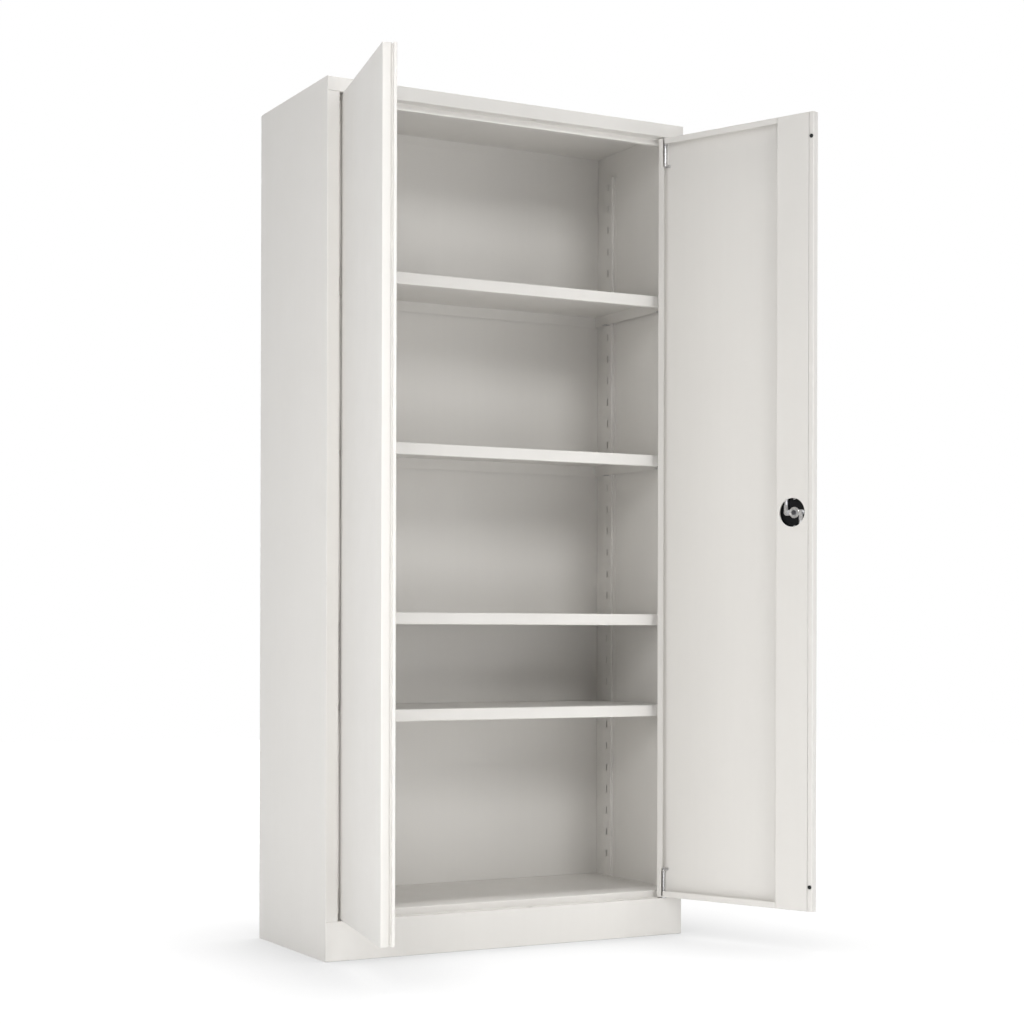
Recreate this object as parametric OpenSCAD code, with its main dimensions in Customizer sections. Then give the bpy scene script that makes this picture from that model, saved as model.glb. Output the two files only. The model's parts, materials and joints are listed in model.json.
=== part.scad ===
// Two-door steel office cabinet, with four shelves on slotted rails and a rod lock.
// X runs across the front, Y to the back and Z up. The origin is the middle of the
// plinth's foot, on the floor. The doors stand open by left_open and right_open degrees.

/* [Cabinet body] */
// Overall width of the cabinet
cab_w = 930; // [800:10:1200]
// Overall depth of the cabinet
cab_d = 400; // [360:10:600]
// Overall height of the cabinet
cab_h = 1950; // [1850:10:2100]
// Thickness of the sheet steel
sheet = 1; // [0.8:0.1:1.2]
// Outer radius of a bend in the sheet
bend_r = 2; // [1.4:0.1:3]
// Height of the plinth face below the doors
plinth_h = 88; // [60:1:120]
// Height of the header face above the doors
header_h = 32; // [24:1:50]
// Width of the post face beside each door
post_w = 30; // [24:1:45]
// Depth of the recess that the doors close into
recess_d = 30; // [28:1:45]
// Height of the stop lip on the front of the cabinet floor
floor_lip = 16; // [12:1:30]
// Height of the stop lip that hangs from the header
head_lip = 14; // [8:1:20]
// Width of the hidden folds that stiffen the edges
edge_fold = 12; // [8:1:16]
// Width of the folds that stand on the floor and hold the back
base_fold = 20; // [14:1:26]

/* [Shelves] */
// Height of the lowest shelf's top above the floor
first_shelf_z = 551; // [420:1:600]
// Slots from the lowest shelf to the next one
low_bay_steps = 4; // [3:1:5]
// Slots between the shelves above it
file_bay_steps = 7; // [5:1:7]
// Height of a shelf's folded edge
shelf_edge = 27; // [20:1:35]
// Distance of the shelf's front edge behind the cabinet front
shelf_front = 38; // [36:1:60]
// Gap between a shelf and the back panel
shelf_back_gap = 3; // [1:1:10]
// Spacing of the slots in the shelf rails
slot_pitch = 55; // [50:1:60]
// Height of a rail slot
slot_h = 17; // [15:1:20]
// Width of a rail slot
slot_w = 5; // [4.5:0.5:7]
// Width of a shelf rail's face
rail_w = 40; // [30:1:50]
// Depth of a shelf rail off the side wall
rail_d = 7; // [6:1:16]
// Distance of the front rail's slots behind the cabinet front
front_rail_y = 89; // [75:1:110]
// Distance of the rear rail's slots from the back
rear_rail_in = 63; // [50:1:90]
// Width of a shelf clip
clip_w = 16; // [10:1:24]
// Thickness of a shelf clip
clip_t = 1.5; // [1.2:0.1:1.6]
// Length of the ledge that carries the shelf
clip_ledge = 12; // [8:1:16]

/* [Doors] */
// Angle that the left door stands open
left_open = 102.3; // [0:0.1:115]
// Angle that the right door stands open
right_open = 112.7; // [0:0.1:115]
// Thickness of a door
door_t = 19; // [19:0.5:20]
// Gap round a closed door
door_gap = 3.5; // [2:0.1:4]
// Gap between the closed doors
centre_gap = 3; // [2:0.1:5]
// Distance of a closed door behind the cabinet front
door_set = 1; // [0:0.1:2]
// Distance of the hinge axis from the door's edge
pivot_in = 12; // [11:0.1:12]
// Distance of the hinge axis behind the door's face
pivot_back = 7; // [7:0.1:7.5]
// Width of the fold along the hinge side of a door
hinge_fold = 17; // [15:1:20]
// Depth of the notch in that fold beside a hinge pin
fold_notch = 4; // [2:0.5:5]
// Height of the folds along the top and bottom of a door
end_fold = 14; // [10:1:20]
// Width of the fold along the free edge of a door
free_fold = 12; // [10:1:16]
// Width of the strip behind the left door's free edge
strip_w = 32; // [26:1:40]
// Depth of that strip
strip_d = 9; // [8:0.1:9]
// Width of that strip behind the right door
strip_lap = 12; // [8:1:16]

/* [Hinge pins] */
// Diameter of a hinge pin
pin_d = 6; // [5:0.5:6]
// Length of pin that stands in its bush
pin_reach = 6; // [4:0.5:8]
// Height of a pin's bracket
bracket_h = 61; // [50:1:80]
// Width of a pin's bracket
bracket_w = 11; // [10:0.5:12]
// Length of a pin's bent handle
pin_handle = 14; // [10:1:18]
// Diameter of a spring's wire
wire_d = 0.9; // [0.7:0.1:1]
// Mean diameter of a spring
spring_d = 8; // [7.8:0.1:8.4]
// Turns of a spring
spring_turns = 8; // [5:1:9]

/* [Lock] */
// Width of the channel that covers the lock rods
channel_w = 86; // [80:1:100]
// Diameter of the hole over the lock
lock_hole_d = 66; // [60:1:68]
// Distance of the lock's centre from the right door's free edge
lock_in = 55; // [50:1:60]
// Height of the lock's centre above the floor
lock_z = 1003; // [900:1:1100]
// Distance from the lock's centre to a rod's pivot
crank_r = 20; // [17:0.5:22]
// Diameter of a lock rod
rod_d = 10; // [8:0.5:10]
// Length of the cam plate
cam_len = 54; // [52:1:56]
// Width of the cam plate's arms
cam_w = 13; // [12:1:18]
// Diameter of the cam plate's hub
cam_hub_d = 26; // [20:1:30]
// Diameter of the lock's front plate
plate_d = 80; // [74:1:86]
// Diameter of the lock's barrel
barrel_d = 56; // [50:1:58]
// Diameter of the turning grip's base
grip_d = 52; // [44:1:60]
// Height of the turning grip's wing
wing_h = 16; // [12:1:22]
// Diameter of the key plug
plug_d = 18; // [16:1:20]
// Diameter of a door bumper
bumper_d = 9; // [7:0.5:10]
// Distance of a door bumper from the door's end
bumper_in = 56; // [40:1:80]

/* [Hidden] */
$fn = 48;
bend_steps = 4;   // straight steps in a bend's quarter circle
cut = 1;          // how far a cutting shape runs past the sheet
run = 0.05;       // radial clearance of a turning or sliding fit
seat = 0.3;       // gap at rest between pieces that move past each other

paint = [0.86, 0.86, 0.84];
steel = [0.74, 0.74, 0.75];
black = [0.08, 0.08, 0.09];

// Carcass places
half_w = cab_w / 2;
inner_w = half_w - sheet;
back_y = cab_d - 2 * sheet;
foot_y = (bend_r + base_fold) / 2;   // middle of the plinth's foot, behind the cabinet front
header_z = cab_h - header_h;
floor_z = plinth_h + floor_lip;
floor_fold_z = plinth_h - edge_fold / 2;
rail_x = inner_w - rail_d;
rear_rail_y = cab_d - rear_rail_in;
rail_top_gap = 28;            // from the header's underside down to the rails
rail_z1 = header_z - rail_top_gap;
rail_flange = 10;

// Shelf places, from the top shelf down
shelf_z = [
    for (k = [2, 1]) first_shelf_z + (low_bay_steps + k * file_bay_steps) * slot_pitch,
    first_shelf_z + low_bay_steps * slot_pitch,
    first_shelf_z];
clip_gap = 0.5;
shelf_half = rail_x - clip_t - clip_gap;
slot_drop = 4.5;  // a slot's centre lies this far below a shelf's top
slots_below = floor((first_shelf_z - slot_drop - slot_h - floor_z) / slot_pitch);
slots_above = floor((rail_z1 - slot_h - first_shelf_z + slot_drop) / slot_pitch);

// Door places, about the hinge axis: x runs to the free edge and y to the back
door_w = (cab_w - 2 * post_w - 2 * door_gap - centre_gap) / 2;
axis_x = half_w - post_w - door_gap - pivot_in;
axis_y = door_set + pivot_back;
hinge_x = -pivot_in;
free_x = door_w - pivot_in;
face_y = -pivot_back;
skin_y = face_y + sheet;
rear_y = face_y + door_t;
door_z0 = plinth_h + door_gap;
door_z1 = header_z - door_gap;
mid_z = (door_z0 + door_z1) / 2;
strip_step = 2.2;             // how far the meeting strip stands off the right door's back
joggle_y = rear_y + strip_step;
bumper_h = strip_step - 0.2;
fold_gap = 1.2;               // gap between a door's free fold and the channel

// Hinge pin places, for an upper pin
pin_top = header_z + pin_reach;
ear_t = 1;
ear_y = pin_d / 2 + 3;        // front of a bracket's ears, past its pin
bracket_z1 = door_z1 - sheet;
bracket_z0 = bracket_z1 - bracket_h;
collar_d = spring_d + wire_d + 0.4;
collar_h = 2;
collar_z = bracket_z1 - ear_t - seat - collar_h;
handle_z = bracket_z0 - seat - pin_d / 2 - 1;
bush_d = pin_d + 4;
bush_h = 9;
bush_rim = 2;
spring_gap = 0.2;

// Lock places
lock_x = free_x - lock_in;
channel_x1 = free_x - free_fold - fold_gap;
channel_x0 = channel_x1 - channel_w + fold_gap;
rod_y = 5;
tab_t = 3;
cam_y1 = rod_y - tab_t / 2 - seat;
cam_t = 2.4;
cam_y0 = cam_y1 - cam_t;
rivet_d = 5;
rod_end_z = door_z1 - 0.5;
rod_top = rod_end_z - lock_z;
rod_bottom = lock_z - (door_z0 + 0.5);
upper_tilt = atan(crank_r / (rod_top));
lower_tilt = atan(crank_r / (rod_bottom));
rod_play = 1;
rod_wander = 0.21 * crank_r;  // most that a rod strays from its guide's centre in a turn
rod_slot_near = rod_d / 2 + rod_play / 2;  // ends of a rod's slot from the lock's centre line
rod_slot_far = rod_slot_near + rod_wander + rod_play / 2;
tab_w = rod_d;                // flat end of a rod, on its rivet
tab_h = 20;
guide_w = 40;
guide_h = 4;
grip_y = face_y - 3;          // front of the lock's front plate
grip_base = 6;
wing_w = 14;
wing_y = grip_y - seat - grip_base;
neck_d = 16;
square_w = 9;
ring_d = plate_d - 4;         // ring on the back of the door's skin
screw_d = 4;
screw_r = (barrel_d + ring_d) / 4;
screw_depth = 2;              // how far the screws reach into the front plate
cam_screw_len = 12;
cam_screw_head = 2.6;

// Points along one face of a folded sheet, set off to its left by off, with round bends
function unit(v) = v / norm(v);
function left_of(v) = [-v[1], v[0]];
function reversed(v) = [for (i = [len(v) - 1:-1:0]) v[i]];
function bent(p, off, r) = [
    for (i = [0:len(p) - 1])
        let (a = unit(i == 0 ? p[1] - p[0] : p[i] - p[i - 1]),
             b = i == 0 || i == len(p) - 1 ? a : unit(p[i + 1] - p[i]),
             inside = cross(a, b) > 0,
             r_face = inside ? r : r - sheet,
             r_here = inside ? r_face - off : r_face + off,
             centre = p[i] - r_face * a + r_face * b)
        each a == b ? [p[i] + off * left_of(a)]
            : r_here < 0.001 ? [centre]
            : [for (k = [0:bend_steps]) let (q = 90 * k / bend_steps)
                centre + r_here * (a * sin(q) - b * cos(q))]];
// Outline of a sheet folded along path p, with the sheet on the path's left
module fold_outline(p, r) {
    polygon(concat(bent(p, 0, r), reversed(bent(p, sheet, r))));
}
// A fold that runs upright, from z0 to z1, along an (x, y) path
module upright_fold(p, z0, z1, r = bend_r) {
    translate([0, 0, z0]) linear_extrude(z1 - z0) fold_outline(p, r);
}
// A fold that runs across, from x0 to x1, along a (y, z) path
module cross_fold(p, x0, x1) {
    translate([x0, 0, 0]) rotate([90, 0, 90]) linear_extrude(x1 - x0) fold_outline(p, bend_r);
}
// A box from its low corner to its high corner
module block(low, high) {
    translate(low) cube(high - low);
}
// A cylinder along Y, from y0 to y1
module rod_y_axis(x, z, y0, y1, d) {
    translate([x, y0, z]) rotate([-90, 0, 0]) cylinder(h = y1 - y0, d = d);
}
// A flat outline given thickness along Y, with its own y as Z
module plate(y0, y1) {
    translate([0, y1, 0]) rotate([90, 0, 0]) linear_extrude(y1 - y0) children();
}
// A slot's outline, with round ends at x0 and x1
module stadium(x0, x1, w) {
    translate([x0 + w / 2, -w / 2]) square([x1 - x0 - w, w]);
    for (x = [x0 + w / 2, x1 - w / 2]) translate([x, 0]) circle(d = w);
}
// Upper pieces, and the same pieces turned over at the bottom of a door
module at_foot() {
    translate([0, 0, 2 * mid_z]) mirror([0, 0, 1]) children();
}
// Moves pieces that are placed from the cabinet front, so that the origin is at the foot
module from_foot() {
    translate([0, -foot_y, 0]) children();
}
// Moves a closed left or right door's pieces to where it stands open
module left_place() {
    translate([-axis_x, axis_y, 0]) rotate([0, 0, -left_open]) children();
}
module right_place() {
    translate([axis_x, axis_y, 0]) rotate([0, 0, right_open]) mirror([1, 0, 0]) children();
}

// Carcass
module side_panel() {
    wall = [[-half_w + base_fold, cab_d], [-half_w, cab_d], [-half_w, 0]];
    post = [[-half_w + post_w, 0], [-half_w + post_w, recess_d],
        [-half_w + post_w - edge_fold, recess_d]];
    color(paint) union() {
        upright_fold(wall, 0, plinth_h);
        upright_fold(concat(wall, post), plinth_h, header_z);
        upright_fold(wall, header_z, cab_h);
        block([-inner_w - sheet / 2, base_fold + 1, 0], [-half_w + base_fold, back_y - 1, sheet]);
    }
}
module back_panel() {
    x = half_w - bend_r;
    color(paint) block([-x, back_y, 0], [x, back_y + sheet, cab_h]);
}
// Holes for the hinge bushes and the slot for a lock rod, through a sheet from z0 to z1
module frame_holes(z0, z1, slot_low, slot_high) {
    for (x = [-axis_x, axis_x])
        translate([x, axis_y, z0 - cut]) cylinder(h = z1 - z0 + 2 * cut, d = bush_d + 2 * run);
    translate([axis_x - lock_x, axis_y + rod_y, z0 - cut]) linear_extrude(z1 - z0 + 2 * cut)
        stadium(slot_low, slot_high, rod_d + rod_play);
}
module top_panel() {
    color(paint) difference() {
        cross_fold([[back_y, cab_h - base_fold], [back_y, cab_h], [0, cab_h], [0, header_z],
            [recess_d, header_z], [recess_d, header_z - head_lip],
            [recess_d + edge_fold, header_z - head_lip]], -inner_w, inner_w);
        frame_holes(header_z, header_z + sheet, -rod_slot_near, rod_slot_far);
    }
}
module floor_panel() {
    color(paint) cross_fold([[back_y, floor_z - base_fold], [back_y, floor_z], [recess_d, floor_z],
        [recess_d, floor_fold_z], [recess_d + edge_fold, floor_fold_z]], -inner_w, inner_w);
}
module plinth_panel() {
    color(paint) difference() {
        cross_fold([[recess_d, plinth_h], [0, plinth_h], [0, 0], [base_fold, 0]],
            -inner_w, inner_w);
        frame_holes(plinth_h - sheet, plinth_h, -rod_slot_far, rod_slot_near);
    }
}
// A slotted rail on the left wall, with its slots at y
module rail(y) {
    x0 = -inner_w + sheet;
    color(paint) difference() {
        upright_fold([[x0, y - rail_w / 2 - rail_flange], [x0, y - rail_w / 2],
            [-rail_x, y - rail_w / 2], [-rail_x, y + rail_w / 2],
            [x0, y + rail_w / 2], [x0, y + rail_w / 2 + rail_flange]], floor_z, rail_z1);
        for (k = [-slots_below:slots_above])
            translate([-rail_x - sheet / 2, y, first_shelf_z - slot_drop + k * slot_pitch])
                cube([sheet + 2 * cut, slot_w, slot_h], center = true);
    }
}

// Shelves
module shelf(z) {
    y1 = back_y - shelf_back_gap;
    color(paint) union() {
        cross_fold([[y1, z - shelf_edge], [y1, z], [shelf_front, z], [shelf_front, z - shelf_edge],
            [shelf_front + edge_fold, z - shelf_edge]], -shelf_half, shelf_half);
        for (s = [-1, 1]) translate([s * (shelf_half - sheet / 2), 0, 0])
            block([-sheet / 2, shelf_front + sheet / 2, z - shelf_edge],
                [sheet / 2, y1 - sheet / 2, z - sheet / 2]);
    }
}
// A clip on the left wall, hooked in a rail slot, with its ledge under the shelf's edge
module clip(y, z) {
    hook_h = 8;
    hook_drop = 5;
    clip_top = z - 3;
    hook_x = -rail_x - sheet - seat;
    hook_w = slot_w - 2 * seat;
    hook_z = z - slot_drop - slot_h / 2 + seat;
    ledge_z = z - shelf_edge;
    translate([0, y, 0]) union() {
        block([-rail_x, -clip_w / 2, ledge_z - clip_t], [-rail_x + clip_t, clip_w / 2, clip_top]);
        block([-rail_x, -clip_w / 2, ledge_z - clip_t],
            [-rail_x + clip_ledge, clip_w / 2, ledge_z]);
        block([hook_x - clip_t, -hook_w / 2, hook_z],
            [-rail_x + clip_t, hook_w / 2, hook_z + hook_h]);
        block([hook_x - clip_t, -hook_w / 2, hook_z - hook_drop],
            [hook_x, hook_w / 2, hook_z + hook_h]);
    }
}
module clips(z) {
    color(steel) for (s = [0, 1], y = [front_rail_y, rear_rail_y])
        mirror([s, 0, 0]) clip(y, z);
}

// Bushes that the hinge pins stand in. The lower ones carry the doors
module bush(rim_h) {
    translate([0, 0, header_z]) difference() {
        union() {
            cylinder(h = bush_h, d = bush_d);
            translate([0, 0, -rim_h]) cylinder(h = rim_h, d = bush_d + 2 * bush_rim);
        }
        translate([0, 0, -rim_h - cut])
            cylinder(h = bush_h + rim_h + 2 * cut, d = pin_d + 2 * run);
    }
}
module hinge_bushes() {
    color(steel) for (x = [-axis_x, axis_x]) translate([x, axis_y, 0]) {
        bush(1);
        at_foot() bush(door_gap - seat);
    }
}

// A door's folded skin. The top and bottom folds end at end_x
module door_skin(end_x) {
    union() {
        upright_fold([[hinge_x + hinge_fold, rear_y], [hinge_x, rear_y], [hinge_x, face_y],
            [free_x, face_y], [free_x, rear_y], [free_x - free_fold, rear_y]], door_z0, door_z1);
        for (z = [door_z0, door_z1 - sheet])
            block([hinge_x + sheet / 2, face_y + sheet / 2, z],
                [free_x - sheet / 2, rear_y, z + sheet]);
        for (z = [door_z0, door_z1 - end_fold])
            block([hinge_x + bend_r, rear_y - sheet, z], [end_x, rear_y, z + end_fold]);
    }
}
// Notch in the hinge fold, which leaves the upper pin in view
module fold_notch_cut() {
    x = hinge_x + hinge_fold;
    block([x - fold_notch, rear_y - sheet - cut, handle_z - pin_d / 2],
        [x + cut, rear_y + cut, bracket_z1]);
}
// Holes and notches for the hinge pins
module pin_holes() {
    translate([0, 0, door_z0 - cut])
        cylinder(h = door_z1 - door_z0 + 2 * cut, d = pin_d + 2 * seat);
    fold_notch_cut();
    at_foot() fold_notch_cut();
}
module left_door_skin() {
    color(paint) left_place() difference() {
        door_skin(free_x - bend_r);
        pin_holes();
    }
}
module right_door_skin() {
    color(paint) right_place() difference() {
        door_skin(channel_x0 - run);
        pin_holes();
        rod_y_axis(lock_x, lock_z, face_y - cut, skin_y + cut, barrel_d + 2 * seat);
        for (s = [-1, 1])
            rod_y_axis(lock_x, lock_z + s * screw_r, face_y - cut, skin_y + cut,
                screw_d + 2 * seat);
        translate([lock_x, rod_y, door_z1 - 2 * sheet]) linear_extrude(2 * sheet + cut)
            stadium(-rod_slot_far, rod_slot_near, rod_d + rod_play);
        translate([lock_x, rod_y, door_z0 - cut]) linear_extrude(2 * sheet + cut)
            stadium(-rod_slot_near, rod_slot_far, rod_d + rod_play);
    }
}
// Strip on the back of the left door, which the right door closes against
module meeting_strip() {
    x0 = free_x + strip_lap - strip_w;
    x1 = free_x + strip_lap;
    step_x = free_x - 0.4;
    end_gap = 2;
    color(paint) left_place()
        upright_fold([[x0, rear_y], [step_x, rear_y], [step_x, joggle_y], [x1, joggle_y],
            [x1, rear_y + strip_d], [x0, rear_y + strip_d], [x0, rear_y + sheet + seat]],
            door_z0 + end_gap, door_z1 - end_gap, sheet);
}
// Channel over the lock rods, down the free side of the right door
module lock_channel() {
    color(paint) right_place() difference() {
        upright_fold([[channel_x1, 0], [channel_x1, rear_y], [channel_x0, rear_y],
            [channel_x0, skin_y], [channel_x0 + edge_fold, skin_y]],
            door_z0 + sheet, door_z1 - sheet);
        rod_y_axis(lock_x, lock_z, rear_y - 2 * sheet, rear_y + cut, lock_hole_d);
        rod_y_axis(lock_x, lock_z, skin_y - cut, 0, ring_d + 2 * seat);
    }
}
module door_bumpers() {
    color(black) right_place() for (z = [door_z0 + bumper_in, door_z1 - bumper_in])
        rod_y_axis(free_x - free_fold / 2, z, rear_y, rear_y + bumper_h, bumper_d);
}

// Hinge pins, for the top of a door
module bracket() {
    w = bracket_w / 2;
    difference() {
        union() {
            block([-w, skin_y, bracket_z0], [w, skin_y + ear_t, bracket_z1]);
            block([-w, skin_y, bracket_z1 - ear_t], [w, ear_y, bracket_z1]);
            block([-w, skin_y, bracket_z0], [w, ear_y, bracket_z0 + ear_t]);
        }
        translate([0, 0, bracket_z0 - cut])
            cylinder(h = bracket_h + 2 * cut, d = pin_d + 2 * run);
    }
}
module brackets() {
    color(paint) {
        bracket();
        at_foot() bracket();
    }
}
module pin() {
    tip = 1;
    color(steel) union() {
        translate([0, 0, handle_z]) cylinder(h = pin_top - tip - handle_z, d = pin_d);
        translate([0, 0, pin_top - tip]) cylinder(h = tip, d1 = pin_d, d2 = pin_d - 2 * tip);
        translate([0, 0, collar_z]) cylinder(h = collar_h, d = collar_d);
        translate([0, 0, handle_z]) sphere(d = pin_d);
        translate([0, 0, handle_z]) rotate([0, 90, 0]) cylinder(h = pin_handle, d = pin_d);
    }
}
// A spring's wire, swept along its helix, with a straight end of one wire at each seat
spring_z0 = bracket_z0 + ear_t + spring_gap;
spring_z1 = collar_z - spring_gap;
turn_points = 8;
coil_points = spring_turns * turn_points;
function coil_point(i) = let (q = 360 * i / turn_points, f = i / coil_points)
    [spring_d / 2 * cos(q), spring_d / 2 * sin(q),
        spring_z0 + wire_d + (spring_z1 - spring_z0 - 2 * wire_d) * f];
spring_path = concat(
    [[spring_d / 2, 0, spring_z0]], [for (i = [0:coil_points]) coil_point(i)],
    [[spring_d / 2, 0, spring_z1]]);
spring_least_gap = min([for (i = [0:coil_points - turn_points])
    norm(coil_point(i + turn_points) - coil_point(i))]) - wire_d;
echo("spring least gap to itself, mm", spring_least_gap);
module spring() {
    sides = 6;
    n = len(spring_path);
    rings = [for (i = [0:n - 1])
        let (q = i == 0 ? 0 : i == n - 1 ? 0 : 360 * (i - 1) / turn_points,
             out = [cos(q), sin(q), 0],
             t = unit(i == 0 || i == n - 1 ? [0, 0, 1]
                 : spring_path[i + 1] - spring_path[i - 1]),
             up = cross(t, out))
        for (k = [0:sides - 1]) let (w = 360 * k / sides)
            spring_path[i] + wire_d / 2 * (out * cos(w) + up * sin(w))];
    walls = [for (i = [0:n - 2], k = [0:sides - 1])
        let (a = i * sides + k, b = i * sides + (k + 1) % sides)
        each [[a, b, b + sides], [a, b + sides, a + sides]]];
    ends = concat([for (k = [1:sides - 2]) [0, k + 1, k]],
        [for (k = [1:sides - 2]) [(n - 1) * sides, (n - 1) * sides + k, (n - 1) * sides + k + 1]]);
    color(steel) polyhedron(points = rings, faces = [for (f = concat(walls, ends)) reversed(f)]);
}

// Lock
module lock_front_plate() {
    bore = neck_d / 2 + run;
    color(black) right_place() translate([lock_x, 0, lock_z]) rotate([-90, 0, 0]) difference() {
        rotate_extrude() polygon([
            [bore, grip_y], [plate_d / 2 - 2, grip_y], [plate_d / 2 - 0.6, grip_y + 0.6],
            [plate_d / 2, grip_y + 2], [plate_d / 2, face_y], [barrel_d / 2, face_y],
            [barrel_d / 2, 0], [bore, 0]]);
        for (s = [-1, 1]) translate([0, s * screw_r, face_y - screw_depth])
            cylinder(h = screw_depth + cut, d = screw_d);
    }
}
module lock_back_ring() {
    color(black) right_place() translate([lock_x, 0, lock_z]) rotate([-90, 0, 0]) difference() {
        translate([0, 0, skin_y]) cylinder(h = -skin_y, d = ring_d);
        translate([0, 0, skin_y - cut]) cylinder(h = -skin_y + 2 * cut, d = barrel_d + 2 * run);
        for (s = [-1, 1]) translate([0, s * screw_r, skin_y - cut])
            cylinder(h = -skin_y + 2 * cut, d = screw_d + 2 * run);
    }
}
module lock_screws() {
    head_h = 1.8;
    color(steel) right_place() for (s = [-1, 1]) difference() {
        union() {
            rod_y_axis(lock_x, lock_z + s * screw_r, face_y - screw_depth, 0, screw_d);
            rod_y_axis(lock_x, lock_z + s * screw_r, 0, head_h, screw_d + 3);
        }
        for (q = [0, 90]) translate([lock_x, head_h, lock_z + s * screw_r]) rotate([0, q, 0])
            cube([5, 1.6, 1], center = true);
    }
}
module turning_grip() {
    color(black) right_place() translate([lock_x, 0, lock_z]) difference() {
        union() {
            rod_y_axis(0, 0, wing_y, grip_y - seat, grip_d);
            rod_y_axis(0, 0, grip_y - 2 * seat, cam_y0 - seat, neck_d);
            plate(wing_y - wing_h, wing_y) stadium(-grip_d / 2 + 1, grip_d / 2 - 1, wing_w);
            plate(wing_y - wing_h, wing_y) circle(d = plug_d + 6);
            plate(cam_y0 - 2 * seat, cam_y1) square(square_w, center = true);
        }
        rod_y_axis(0, 0, wing_y - wing_h - cut, wing_y - 2, plug_d + 2 * run);
        rod_y_axis(0, 0, cam_y1 - cam_screw_len - 2, cam_y1 + cut, screw_d);
    }
}
module lock_cam() {
    color(steel) right_place() translate([lock_x, 0, lock_z]) plate(cam_y0, cam_y1) difference() {
        union() {
            stadium(-cam_len / 2, cam_len / 2, cam_w);
            circle(d = cam_hub_d);
        }
        square(square_w + 2 * run, center = true);
        for (s = [-1, 1]) translate([s * crank_r, 0]) circle(d = rivet_d + 2 * run);
    }
}
module cam_rivets() {
    color(steel) right_place() for (s = [-1, 1]) {
        x = lock_x + s * crank_r;
        rod_y_axis(x, lock_z, cam_y0, rod_y + tab_t / 2 + seat, rivet_d);
        rod_y_axis(x, lock_z, cam_y0 - 0.4, cam_y0, rivet_d + 3);
        rod_y_axis(x, lock_z, rod_y + tab_t / 2 + seat, rod_y + tab_t / 2 + seat + 1.5, rivet_d + 4);
    }
}
module cam_screw() {
    color(steel) right_place() translate([lock_x, 0, lock_z]) difference() {
        union() {
            rod_y_axis(0, 0, cam_y1 - cam_screw_len, cam_y1, screw_d);
            rod_y_axis(0, 0, cam_y1, cam_y1 + cam_screw_head, square_w + 2);
        }
        plate(cam_y1 + 1, cam_y1 + cam_screw_head + cut) circle(d = 5.8, $fn = 6);
    }
}
module lock_plug() {
    y0 = wing_y - wing_h - 0.4;
    color(steel) right_place() translate([lock_x, 0, lock_z]) difference() {
        rod_y_axis(0, 0, y0, wing_y - 2 - seat, plug_d);
        translate([0, y0, 0]) cube([1.6, 10, 8], center = true);
    }
}
// A rod that rises from its rivet, length to its end, leaning by tilt
module rod(length, tilt) {
    tip = 3;
    rod_z0 = tab_h - 2;
    rotate([0, tilt, 0]) difference() {
        union() {
            plate(-tab_t / 2, tab_t / 2) {
                circle(d = tab_w);
                translate([-tab_w / 2, 0]) square([tab_w, tab_h]);
            }
            translate([0, 0, rod_z0]) cylinder(h = length - tip - rod_z0, d = rod_d);
            translate([0, 0, length - tip]) cylinder(h = tip, d1 = rod_d, d2 = rod_d - tip);
        }
        rod_y_axis(0, 0, -tab_t, tab_t, rivet_d + 2 * run);
    }
}
module upper_rod() {
    color(steel) right_place() translate([lock_x - crank_r, rod_y, lock_z])
        rod(rod_top / cos(upper_tilt), upper_tilt);
}
module lower_rod() {
    color(steel) right_place() translate([lock_x + crank_r, rod_y, lock_z]) mirror([1, 0, 0])
        mirror([0, 0, 1]) rod(rod_bottom / cos(lower_tilt), lower_tilt);
}
// Slotted plates inside the door's ends, which guide the rods
module rod_guide() {
    translate([lock_x, 0, door_z1 - sheet - guide_h]) linear_extrude(guide_h) difference() {
        translate([-guide_w / 2, skin_y]) square([guide_w, rear_y - sheet - skin_y]);
        translate([0, rod_y]) stadium(-rod_slot_far, rod_slot_near, rod_d + 2 * seat);
    }
}
module rod_guides() {
    color(black) right_place() {
        rod_guide();
        at_foot() translate([2 * lock_x, 0, 0]) mirror([1, 0, 0]) rod_guide();
    }
}

from_foot() side_panel();  // left_side_panel
from_foot() mirror([1, 0, 0]) side_panel();  // right_side_panel
from_foot() back_panel();
from_foot() top_panel();
from_foot() floor_panel();
from_foot() plinth_panel();
from_foot() rail(front_rail_y);  // front_left_rail
from_foot() rail(rear_rail_y);  // rear_left_rail
from_foot() mirror([1, 0, 0]) rail(front_rail_y);  // front_right_rail
from_foot() mirror([1, 0, 0]) rail(rear_rail_y);  // rear_right_rail
from_foot() shelf(shelf_z[0]);  // shelf_1
from_foot() shelf(shelf_z[1]);  // shelf_2
from_foot() shelf(shelf_z[2]);  // shelf_3
from_foot() shelf(shelf_z[3]);  // shelf_4
from_foot() clips(shelf_z[0]);  // shelf_1_clips
from_foot() clips(shelf_z[1]);  // shelf_2_clips
from_foot() clips(shelf_z[2]);  // shelf_3_clips
from_foot() clips(shelf_z[3]);  // shelf_4_clips
from_foot() hinge_bushes();
from_foot() left_door_skin();
from_foot() meeting_strip();
from_foot() left_place() brackets();  // left_hinge_brackets
from_foot() left_place() spring();  // left_upper_spring
from_foot() left_place() at_foot() spring();  // left_lower_spring
from_foot() left_place() pin();  // left_upper_pin
from_foot() left_place() at_foot() pin();  // left_lower_pin
from_foot() right_door_skin();
from_foot() lock_channel();
from_foot() door_bumpers();
from_foot() rod_guides();
from_foot() right_place() brackets();  // right_hinge_brackets
from_foot() right_place() spring();  // right_upper_spring
from_foot() right_place() at_foot() spring();  // right_lower_spring
from_foot() right_place() pin();  // right_upper_pin
from_foot() right_place() at_foot() pin();  // right_lower_pin
from_foot() lock_front_plate();
from_foot() lock_back_ring();
from_foot() lock_screws();
from_foot() turning_grip();
from_foot() lock_cam();
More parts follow.
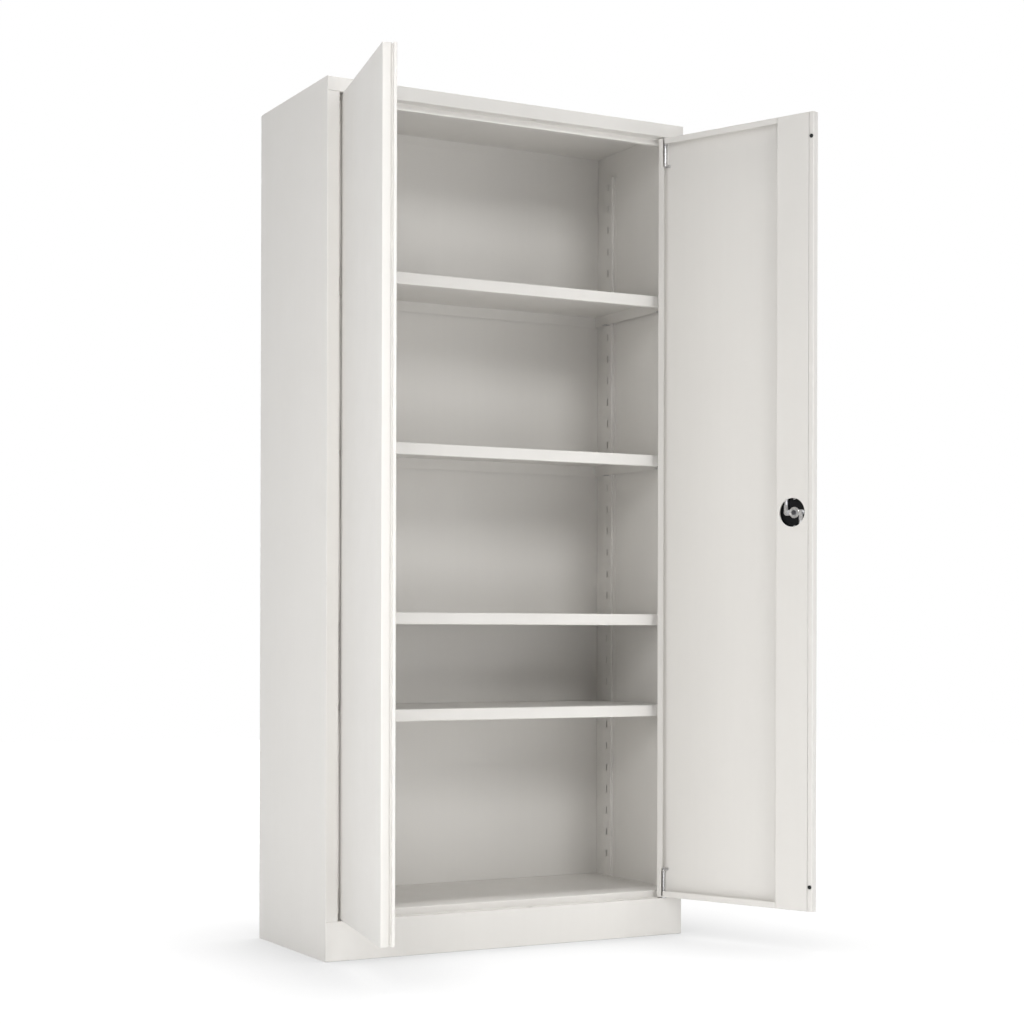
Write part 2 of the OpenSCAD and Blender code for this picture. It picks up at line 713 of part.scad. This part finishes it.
from_foot() cam_rivets();
from_foot() cam_screw();
from_foot() lock_plug();
from_foot() upper_rod();
from_foot() lower_rod();
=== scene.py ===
import json
import math

import bmesh
import bpy
from mathutils import Matrix, Vector


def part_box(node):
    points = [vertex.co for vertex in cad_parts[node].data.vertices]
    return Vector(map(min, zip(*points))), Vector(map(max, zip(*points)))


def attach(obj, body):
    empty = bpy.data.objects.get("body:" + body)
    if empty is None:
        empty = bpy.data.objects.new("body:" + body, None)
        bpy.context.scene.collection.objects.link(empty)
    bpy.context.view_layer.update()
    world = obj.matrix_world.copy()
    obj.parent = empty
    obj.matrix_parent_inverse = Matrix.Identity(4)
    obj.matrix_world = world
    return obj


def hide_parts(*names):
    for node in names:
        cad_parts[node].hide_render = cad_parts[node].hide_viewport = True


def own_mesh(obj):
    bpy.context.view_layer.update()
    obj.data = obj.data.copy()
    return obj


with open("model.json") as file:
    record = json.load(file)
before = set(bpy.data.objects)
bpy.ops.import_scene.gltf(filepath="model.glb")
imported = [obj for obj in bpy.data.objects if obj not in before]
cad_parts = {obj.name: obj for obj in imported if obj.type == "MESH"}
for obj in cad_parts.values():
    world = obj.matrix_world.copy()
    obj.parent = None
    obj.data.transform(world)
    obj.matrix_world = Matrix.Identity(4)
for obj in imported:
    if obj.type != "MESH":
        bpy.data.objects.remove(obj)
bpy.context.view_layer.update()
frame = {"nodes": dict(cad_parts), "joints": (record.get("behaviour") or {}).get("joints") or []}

# Camera, at the photograph's viewing angle, in metres and degrees
CAMERA_PLACE = Vector((-2.203, -4.097, 0.728))
CAMERA_LOOK = Vector((0.4744, 0.8803, 0.0))
CAMERA_ROLL = 0.146
LENS_MM = 70.73
SENSOR_MM = 36.0
SHIFT_UP = 0.1168

# Colours, linear
PAINT = (0.760, 0.742, 0.712)
ZINC = (0.70, 0.70, 0.71)
PALE_ZINC = (0.78, 0.78, 0.80)
NICKEL = (0.72, 0.71, 0.70)
DARK_STEEL = (0.16, 0.16, 0.17)
PLASTIC = (0.009, 0.009, 0.010)
RUBBER = (0.016, 0.016, 0.016)
WHITE = (1.0, 1.0, 1.0)

# Light levels, where 1 shows a colour as it is written: what falls on the object from all
# round, and what the background shows to the camera and to bright surfaces
FILL_LEVEL = 0.02
BACKGROUND_LEVEL = 1.0

# Lamps, in degrees and metres. Azimuth 0 is in front of the cabinet and 90 to its right, reach
# is the distance from the cabinet's axis, and a level of 1 shows a colour as it is written.
LAMPS = {
    "top": dict(azimuth=0, reach=0.0, height=30.0, aim_height=0.9, size=12.0, level=0.87),
    "front": dict(azimuth=5, reach=7.25, height=4.3, aim_height=0.9, size=2.0, level=0.18),
    "key": dict(azimuth=-35, reach=7.25, height=4.3, aim_height=0.9, size=2.0, level=0.13),
    "near_key": dict(azimuth=-25, reach=3.2, height=2.3, aim_height=0.8, size=0.9, level=0.05),
    "near_left": dict(azimuth=-60, reach=2.8, height=1.1, aim_height=1.0, size=0.9, level=0.31,
                      mirrored=False),
    "right": dict(azimuth=35, reach=4.5, height=1.2, aim_height=0.9, size=1.2, level=0.12),
    "low": dict(azimuth=18, reach=2.6, height=0.35, aim_height=0.3, size=0.8, level=0.05),
    "back": dict(azimuth=155, reach=5.0, height=2.2, aim_height=1.0, size=2.0, level=0.12),
}

# The floor: what it throws back, and how the picture shows it, in metres and shares of white
FLOOR_RADIUS = 9.0
FLOOR_SIDES = 96
FLOOR_COLOUR = 0.98
FLOOR_SHOWN = 0.12
FLOOR_GLOW = 0.89
# The shade reach and power set a painted shadow: within the reach, ambient occlusion dims the
# floor's glow near the cabinet
FLOOR_SHADE_REACH = 0.35
FLOOR_SHADE_POWER = 0.5
FLOOR_FAR_START = 1.5
FLOOR_FAR_END = 4.0
FLOOR_FAR_GLOW = 0.3

# Welded seams and bevels on sheet edges and on solid pieces, in metres
WELD_REACH = 0.000001
SHEET_BEVEL = 0.00022
PIECE_BEVEL = 0.00035
BEVEL_STEPS = 2
BEVEL_ANGLE = math.radians(32)
FLAT_WEIGHT = 100

# Hinge pin springs, in metres, turns and points
WIRE_D = 0.0009
COIL_D = 0.008
COIL_TURNS = 8
CLOSED_TURNS = 1.0
CLOSED_PITCH = 0.00096
TURN_POINTS = 28
WIRE_SIDES = 10

# Rim on the hub of the lock's cam, in metres
RIM_OUTER = 0.0125
RIM_INNER = 0.0105
RIM_RISE = 0.0008
RIM_ROUND = 0.0003
RIM_SINK = 0.0002
RIM_SIDES = 64

# The solids' nodes by finish
PAINTED = ["left_side_panel", "right_side_panel", "back_panel", "top_panel", "floor_panel",
           "plinth_panel", "front_left_rail", "rear_left_rail", "front_right_rail",
           "rear_right_rail", "shelf_1", "shelf_2", "shelf_3", "shelf_4",
           "left_door_skin", "meeting_strip", "left_hinge_brackets",
           "right_door_skin", "lock_channel", "right_hinge_brackets"]
ZINCED = ["shelf_1_clips", "shelf_2_clips", "shelf_3_clips", "shelf_4_clips", "hinge_bushes",
          "left_upper_pin", "left_lower_pin", "right_upper_pin", "right_lower_pin",
          "lock_screws", "lock_cam", "cam_rivets", "upper_rod", "lower_rod"]
BURNISHED = ["cam_screw"]
PLASTICS = ["rod_guides", "lock_front_plate", "lock_back_ring", "turning_grip"]
RUBBERS = ["door_bumpers"]
NICKELED = ["lock_plug"]


def add_object(name, data):
    """A new object in the scene, made of a mesh, a lamp or a camera."""
    thing = bpy.data.objects.new(name, data)
    bpy.context.scene.collection.objects.link(thing)
    return thing


# Materials
class Shader:
    """A node material on one Principled shader, with the links that its textures share."""

    def __init__(self, name, colour, roughness, metallic=0.0, specular=0.5):
        self.material = bpy.data.materials.new(name)
        self.material.use_nodes = True
        self.nodes = self.material.node_tree.nodes
        self.links = self.material.node_tree.links
        self.bsdf = self.nodes["Principled BSDF"]
        self.bsdf.inputs["Base Color"].default_value = (*colour, 1)
        self.bsdf.inputs["Roughness"].default_value = roughness
        self.bsdf.inputs["Metallic"].default_value = metallic
        self.bsdf.inputs["Specular IOR Level"].default_value = specular
        self.material.diffuse_color = (*colour, 1)
        self.place = self.nodes.new("ShaderNodeTexCoord").outputs["Object"]

    def noise(self, scale, stretch=(1, 1, 1), detail=2.0, rough=0.5):
        """Noise with scale waves to the metre, drawn out along an axis by a small stretch."""
        mapping = self.nodes.new("ShaderNodeMapping")
        mapping.inputs["Scale"].default_value = stretch
        self.links.new(self.place, mapping.inputs["Vector"])
        texture = self.nodes.new("ShaderNodeTexNoise")
        texture.inputs["Scale"].default_value = scale
        texture.inputs["Detail"].default_value = detail
        texture.inputs["Roughness"].default_value = rough
        self.links.new(mapping.outputs["Vector"], texture.inputs["Vector"])
        return texture.outputs["Fac"]

    def spread(self, value, low, high, start=0.3, end=0.7):
        """The value, taken from start to end, as a number from low to high."""
        node = self.nodes.new("ShaderNodeMapRange")
        node.inputs["From Min"].default_value = start
        node.inputs["From Max"].default_value = end
        node.inputs["To Min"].default_value = low
        node.inputs["To Max"].default_value = high
        self.links.new(value, node.inputs["Value"])
        return node.outputs["Result"]

    def blend(self, fac, a, b):
        """Colour a where fac is 0, and b where it is 1. Either may be another node's output."""
        node = self.nodes.new("ShaderNodeMix")
        node.data_type = "RGBA"
        self.links.new(fac, node.inputs["Factor"])
        sockets = [s for s in node.inputs if s.type == "RGBA"]
        for socket, colour in zip(sockets, (a, b)):
            if isinstance(colour, tuple):
                socket.default_value = (*colour, 1)
            else:
                self.links.new(colour, socket)
        return [s for s in node.outputs if s.type == "RGBA"][0]

    def colour(self, value):
        self.links.new(value, self.bsdf.inputs["Base Color"])

    def roughness(self, value):
        self.links.new(value, self.bsdf.inputs["Roughness"])

    def bump(self, height, depth, strength=1.0, under=None):
        """Bump from a height, with depth in metres, on top of another bump."""
        node = self.nodes.new("ShaderNodeBump")
        node.inputs["Distance"].default_value = depth
        node.inputs["Strength"].default_value = strength
        self.links.new(height, node.inputs["Height"])
        if under is not None:
            self.links.new(under, node.inputs["Normal"])
        self.links.new(node.outputs["Normal"], self.bsdf.inputs["Normal"])
        return node.outputs["Normal"]


def shade(colour, share):
    return tuple(c * share for c in colour)


def powder_coat():
    """Light grey powder coat: a fine peel, faint upright streaks and slow changes of gloss."""
    s = Shader("powder_coat", PAINT, roughness=0.42, specular=0.45)
    streaks = s.spread(s.noise(scale=60, stretch=(1, 1, 0.05), detail=3), low=0, high=1)
    clouds = s.spread(s.noise(scale=5, detail=3), low=0, high=0.3)
    streaked = s.blend(streaks, shade(PAINT, 0.994), shade(PAINT, 1.004))
    s.colour(s.blend(clouds, streaked, shade(PAINT, 0.975)))
    s.roughness(s.spread(s.noise(scale=14, detail=3), low=0.37, high=0.48))
    waves = s.bump(s.noise(scale=9, detail=1), depth=0.00025, strength=0.5)
    peel = s.noise(scale=420, detail=3, rough=0.6)
    s.bump(peel, depth=0.00006, strength=0.6, under=waves)
    return s.material


def zinc_plate():
    """Bright zinc plate on steel: cloudy, with fine drawn marks."""
    s = Shader("zinc_plate", ZINC, roughness=0.30, metallic=1.0)
    clouds = s.spread(s.noise(scale=160, detail=4), low=0, high=1)
    s.colour(s.blend(clouds, shade(ZINC, 0.84), PALE_ZINC))
    s.roughness(s.spread(s.noise(scale=340, detail=3), low=0.22, high=0.38))
    marks = s.noise(scale=1400, stretch=(1, 1, 0.12), detail=2)
    s.bump(marks, depth=0.00002, strength=0.5)
    return s.material


def burnished_steel():
    """The dark finish of a hardened screw."""
    s = Shader("burnished_steel", DARK_STEEL, roughness=0.34, metallic=1.0)
    s.roughness(s.spread(s.noise(scale=420, detail=3), low=0.26, high=0.42))
    s.bump(s.noise(scale=1500, detail=2), depth=0.00001, strength=0.5)
    return s.material


def polished_nickel():
    """Bright nickel plate with faint wear."""
    s = Shader("polished_nickel", NICKEL, roughness=0.12, metallic=1.0)
    s.roughness(s.spread(s.noise(scale=500, detail=3), low=0.08, high=0.2))
    s.bump(s.noise(scale=2200, detail=1), depth=0.000008, strength=0.4)
    return s.material


def black_plastic():
    """Moulded black plastic with a fine matt grain."""
    s = Shader("black_plastic", PLASTIC, roughness=0.45, specular=0.15)
    mottle = s.spread(s.noise(scale=300), low=0, high=1)
    s.colour(s.blend(mottle, shade(PLASTIC, 0.8), shade(PLASTIC, 1.3)))
    s.roughness(s.spread(s.noise(scale=900, detail=3), low=0.38, high=0.55))
    s.bump(s.noise(scale=1600, detail=2), depth=0.00003, strength=0.6)
    return s.material


def black_rubber():
    """Dull black rubber."""
    s = Shader("black_rubber", RUBBER, roughness=0.75, specular=0.35)
    mottle = s.spread(s.noise(scale=400), low=0, high=1)
    s.colour(s.blend(mottle, shade(RUBBER, 0.7), shade(RUBBER, 1.5)))
    s.bump(s.noise(scale=1200, detail=3), depth=0.00005, strength=0.7)
    return s.material


def dress(names, material, bevel):
    """Gives CAD nodes their material, welded seams and softly broken edges."""
    for name in names:
        node = frame["nodes"][name]
        node.data.materials.clear()
        node.data.materials.append(material)
        weld = node.modifiers.new("weld", "WELD")
        weld.merge_threshold = WELD_REACH
        edge = node.modifiers.new("edge", "BEVEL")
        edge.width = bevel
        edge.segments = BEVEL_STEPS
        edge.limit_method = "ANGLE"
        edge.angle_limit = BEVEL_ANGLE
        smooth = node.modifiers.new("smooth", "WEIGHTED_NORMAL")
        smooth.weight = FLAT_WEIGHT


# Springs
def coil_heights(z0, z1):
    """Heights along a spring whose first and last turns lie closed, from z0 to z1."""
    steps = COIL_TURNS * TURN_POINTS
    open_turns = COIL_TURNS - 2 * CLOSED_TURNS
    open_pitch = (z1 - z0 - WIRE_D - 2 * CLOSED_TURNS * CLOSED_PITCH) / open_turns
    heights = []
    for i in range(steps + 1):
        turn = i / TURN_POINTS
        opened = min(max(turn - CLOSED_TURNS, 0), open_turns)
        heights.append(z0 + WIRE_D / 2 + (turn - opened) * CLOSED_PITCH + opened * open_pitch)
    return heights


def coil_points(axis_x, axis_y, z0, z1, hand):
    """Points along a spring's wire, wound one way for a hand of 1 and the other for -1."""
    points = []
    for i, z in enumerate(coil_heights(z0, z1)):
        q = hand * math.tau * i / TURN_POINTS
        x = axis_x + COIL_D / 2 * math.cos(q)
        y = axis_y + COIL_D / 2 * math.sin(q)
        points.append(Vector((x, y, z)))
    return points


def coil_mesh(name, points, axis_x, axis_y):
    """A round wire with flat ends, along points that wind about an upright axis."""
    verts, faces = [], []
    for i, point in enumerate(points):
        along = (points[min(i + 1, len(points) - 1)] - points[max(i - 1, 0)]).normalized()
        out = Vector((point.x - axis_x, point.y - axis_y, 0)).normalized()
        up = along.cross(out)
        for k in range(WIRE_SIDES):
            w = math.tau * k / WIRE_SIDES
            verts.append(point + WIRE_D / 2 * (math.cos(w) * out + math.sin(w) * up))
    for i in range(len(points) - 1):
        for k in range(WIRE_SIDES):
            a, b = i * WIRE_SIDES + k, i * WIRE_SIDES + (k + 1) % WIRE_SIDES
            faces.append((a, b, b + WIRE_SIDES, a + WIRE_SIDES))
    faces.append(tuple(reversed(range(WIRE_SIDES))))
    faces.append(tuple(range((len(points) - 1) * WIRE_SIDES, len(points) * WIRE_SIDES)))
    mesh = bpy.data.meshes.new(name)
    mesh.from_pydata(verts, [], faces)
    mesh.polygons.foreach_set("use_smooth", [len(f) == 4 for f in faces])
    return mesh


def make_spring(side, end, material):
    """A round-wire compression spring in place of the solids' plainer one."""
    node = f"{side}_{end}_spring"
    low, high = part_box(node)
    axis_x, axis_y = (low.x + high.x) / 2, (low.y + high.y) / 2
    hand = 1 if (side == "left") == (end == "upper") else -1
    points = coil_points(axis_x, axis_y, low.z, high.z, hand)
    mesh = coil_mesh(node + "_wire", points, axis_x, axis_y)
    mesh.materials.append(material)
    spring = add_object(node + "_wire", mesh)
    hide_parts(node)
    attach(spring, f"{side}_door")
    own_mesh(spring)


# Lock
def rim_mesh(name, centre, out):
    """The hub's rim as a closed ring of one profile: centre lies on the cam's face, and out
    points into the cam."""
    shoulder = RIM_RISE - RIM_ROUND
    profile = [(RIM_OUTER, -RIM_SINK), (RIM_OUTER, shoulder), (RIM_OUTER - RIM_ROUND, RIM_RISE),
               (RIM_INNER + RIM_ROUND, RIM_RISE), (RIM_INNER, shoulder), (RIM_INNER, -RIM_SINK)]
    up = Vector((0, 0, 1))
    side = up.cross(out)
    mesh = bmesh.new()
    rings = []
    for i in range(RIM_SIDES):
        q = math.tau * i / RIM_SIDES
        arm = math.cos(q) * side + math.sin(q) * up
        rings.append([mesh.verts.new(centre + radius * arm - rise * out)
                      for radius, rise in profile])
    for i, ring in enumerate(rings):
        after = rings[(i + 1) % RIM_SIDES]
        for k in range(len(profile)):
            n = (k + 1) % len(profile)
            mesh.faces.new((ring[k], ring[n], after[n], after[k]))
    bmesh.ops.recalc_face_normals(mesh, faces=mesh.faces)
    data = bpy.data.meshes.new(name)
    mesh.to_mesh(data)
    mesh.free()
    return data


def make_hub_rim(material):
    """The turned-up rim round the hub of the lock's cam, on the side that faces the cabinet."""
    joint = next(j for j in frame["joints"] if j["name"] == "grip_turn")
    out, pivot = Vector(joint["axis"]), Vector(joint["pos_m"])
    face = min(out.dot(v.co) for v in frame["nodes"]["lock_cam"].data.vertices)
    centre = pivot + out * (face - out.dot(pivot))
    data = rim_mesh("cam_rim", centre, out)
    data.materials.append(material)
    rim = add_object("cam_rim", data)
    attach(rim, "grip")


# Stage, light and camera
def white_node(nodes, kind, share=1.0):
    """A shader node of a kind, in a share of white."""
    node = nodes.new(kind)
    node.inputs["Color"].default_value = (*shade(WHITE, share), 1)
    return node


def reckon(nodes, links, operation, a, b):
    """A Math node on two values, each a number or another node's output."""
    node = nodes.new("ShaderNodeMath")
    node.operation = operation
    for socket, value in zip(node.inputs, (a, b)):
        if isinstance(value, float):
            socket.default_value = value
        else:
            links.new(value, socket)
    return node


def seen_mix(nodes, links, lit, seen):
    """Shader lit for light on its way, and shader seen for camera, glossy and transmission rays."""
    path = nodes.new("ShaderNodeLightPath").outputs
    direct = reckon(nodes, links, "MAXIMUM", path["Is Camera Ray"], path["Is Glossy Ray"])
    every = reckon(nodes, links, "MAXIMUM", direct.outputs[0], path["Is Transmission Ray"])
    mix = nodes.new("ShaderNodeMixShader")
    links.new(every.outputs[0], mix.inputs["Fac"])
    links.new(lit.outputs[0], mix.inputs[1])
    links.new(seen.outputs[0], mix.inputs[2])
    return mix.outputs[0]


def make_world():
    """A little light from all round, and a white background."""
    world = bpy.data.worlds.new("studio")
    bpy.context.scene.world = world
    world.use_nodes = True
    nodes, links = world.node_tree.nodes, world.node_tree.links
    nodes.clear()
    fill = white_node(nodes, "ShaderNodeBackground")
    fill.inputs["Strength"].default_value = FILL_LEVEL
    seen = white_node(nodes, "ShaderNodeBackground")
    seen.inputs["Strength"].default_value = BACKGROUND_LEVEL
    out = nodes.new("ShaderNodeOutputWorld")
    links.new(seen_mix(nodes, links, fill, seen), out.inputs["Surface"])


def floor_glow_and_painted_shadow(nodes, links):
    """How much the floor glows, with a painted shadow: ambient occlusion dims the glow under and
    beside the cabinet, and far off it is full white.
    """
    # Painted shadow: ambient occlusion dims the floor's glow under and beside the cabinet
    near = nodes.new("ShaderNodeAmbientOcclusion")
    near.inputs["Distance"].default_value = FLOOR_SHADE_REACH
    soft = reckon(nodes, links, "POWER", near.outputs["AO"], FLOOR_SHADE_POWER)
    level = reckon(nodes, links, "MULTIPLY", soft.outputs[0], FLOOR_GLOW)
    distance = nodes.new("ShaderNodeVectorMath")
    distance.operation = "LENGTH"
    links.new(nodes.new("ShaderNodeTexCoord").outputs["Object"], distance.inputs[0])
    far = nodes.new("ShaderNodeMapRange")
    far.inputs["From Min"].default_value = FLOOR_FAR_START
    far.inputs["From Max"].default_value = FLOOR_FAR_END
    far.inputs["To Max"].default_value = FLOOR_FAR_GLOW
    links.new(distance.outputs["Value"], far.inputs["Value"])
    both = reckon(nodes, links, "ADD", level.outputs[0], far.outputs["Result"])
    both.use_clamp = True
    return both.outputs[0]


def pale_floor():
    """Pale for the light that it throws back, and shown white with the shadow kept: a faint real
    shadow in the shown share, and a painted shadow where the glow is dimmed near the cabinet.
    """
    material = bpy.data.materials.new("pale_floor")
    material.use_nodes = True
    nodes, links = material.node_tree.nodes, material.node_tree.links
    nodes.clear()
    plain = white_node(nodes, "ShaderNodeBsdfDiffuse", FLOOR_COLOUR)
    shown = white_node(nodes, "ShaderNodeBsdfDiffuse", FLOOR_SHOWN)
    glow = white_node(nodes, "ShaderNodeEmission")
    # The glow carries the painted shadow near the cabinet
    links.new(floor_glow_and_painted_shadow(nodes, links), glow.inputs["Strength"])
    add = nodes.new("ShaderNodeAddShader")
    links.new(shown.outputs[0], add.inputs[0])
    links.new(glow.outputs[0], add.inputs[1])
    out = nodes.new("ShaderNodeOutputMaterial")
    links.new(seen_mix(nodes, links, plain, add), out.inputs["Surface"])
    return material


def make_floor():
    """A round floor about the cabinet."""
    turns = [math.tau * i / FLOOR_SIDES for i in range(FLOOR_SIDES)]
    points = [(FLOOR_RADIUS * math.cos(q), FLOOR_RADIUS * math.sin(q), 0) for q in turns]
    mesh = bpy.data.meshes.new("floor")
    mesh.from_pydata(points, [], [list(range(FLOOR_SIDES))])
    mesh.materials.append(pale_floor())
    floor = add_object("floor", mesh)


def soft_box(name, azimuth, reach, height, aim_height, size, level, mirrored=True):
    """A square area light. With mirrored off, bright surfaces don't show it."""
    a = math.radians(azimuth)
    place = Vector((reach * math.sin(a), -reach * math.cos(a), height))
    aim = Vector((0, 0, aim_height))
    data = bpy.data.lights.new(name, "AREA")
    data.shape = "SQUARE"
    data.size = size
    data.energy = level * math.pi ** 2 * (place - aim).length_squared
    lamp = add_object(name, data)
    lamp.location = place
    lamp.visible_camera = False
    lamp.visible_glossy = mirrored
    lamp.rotation_mode = "QUATERNION"
    lamp.rotation_quaternion = (aim - place).to_track_quat("-Z", "Y")


def make_camera():
    data = bpy.data.cameras.new("camera")
    data.sensor_fit = "HORIZONTAL"
    data.sensor_width = SENSOR_MM
    data.lens = LENS_MM
    data.shift_y = SHIFT_UP
    camera = add_object("camera", data)
    turn = CAMERA_LOOK.to_track_quat("-Z", "Y").to_matrix().to_4x4()
    roll = Matrix.Rotation(math.radians(CAMERA_ROLL), 4, "Z")
    camera.matrix_world = Matrix.Translation(CAMERA_PLACE) @ turn @ roll
    bpy.context.scene.camera = camera


make_camera()
dress(PAINTED, powder_coat(), SHEET_BEVEL)
zinc = zinc_plate()
dress(ZINCED, zinc, PIECE_BEVEL)
dress(BURNISHED, burnished_steel(), PIECE_BEVEL)
for side in ("left", "right"):
    for end in ("upper", "lower"):
        make_spring(side, end, zinc)
dress(PLASTICS, black_plastic(), PIECE_BEVEL)
dress(RUBBERS, black_rubber(), PIECE_BEVEL)
nickel = polished_nickel()
dress(NICKELED, nickel, PIECE_BEVEL)
make_hub_rim(nickel)
make_world()
make_floor()
for name, setting in LAMPS.items():
    soft_box(name, **setting)
bpy.context.scene.view_settings.view_transform = "Standard"
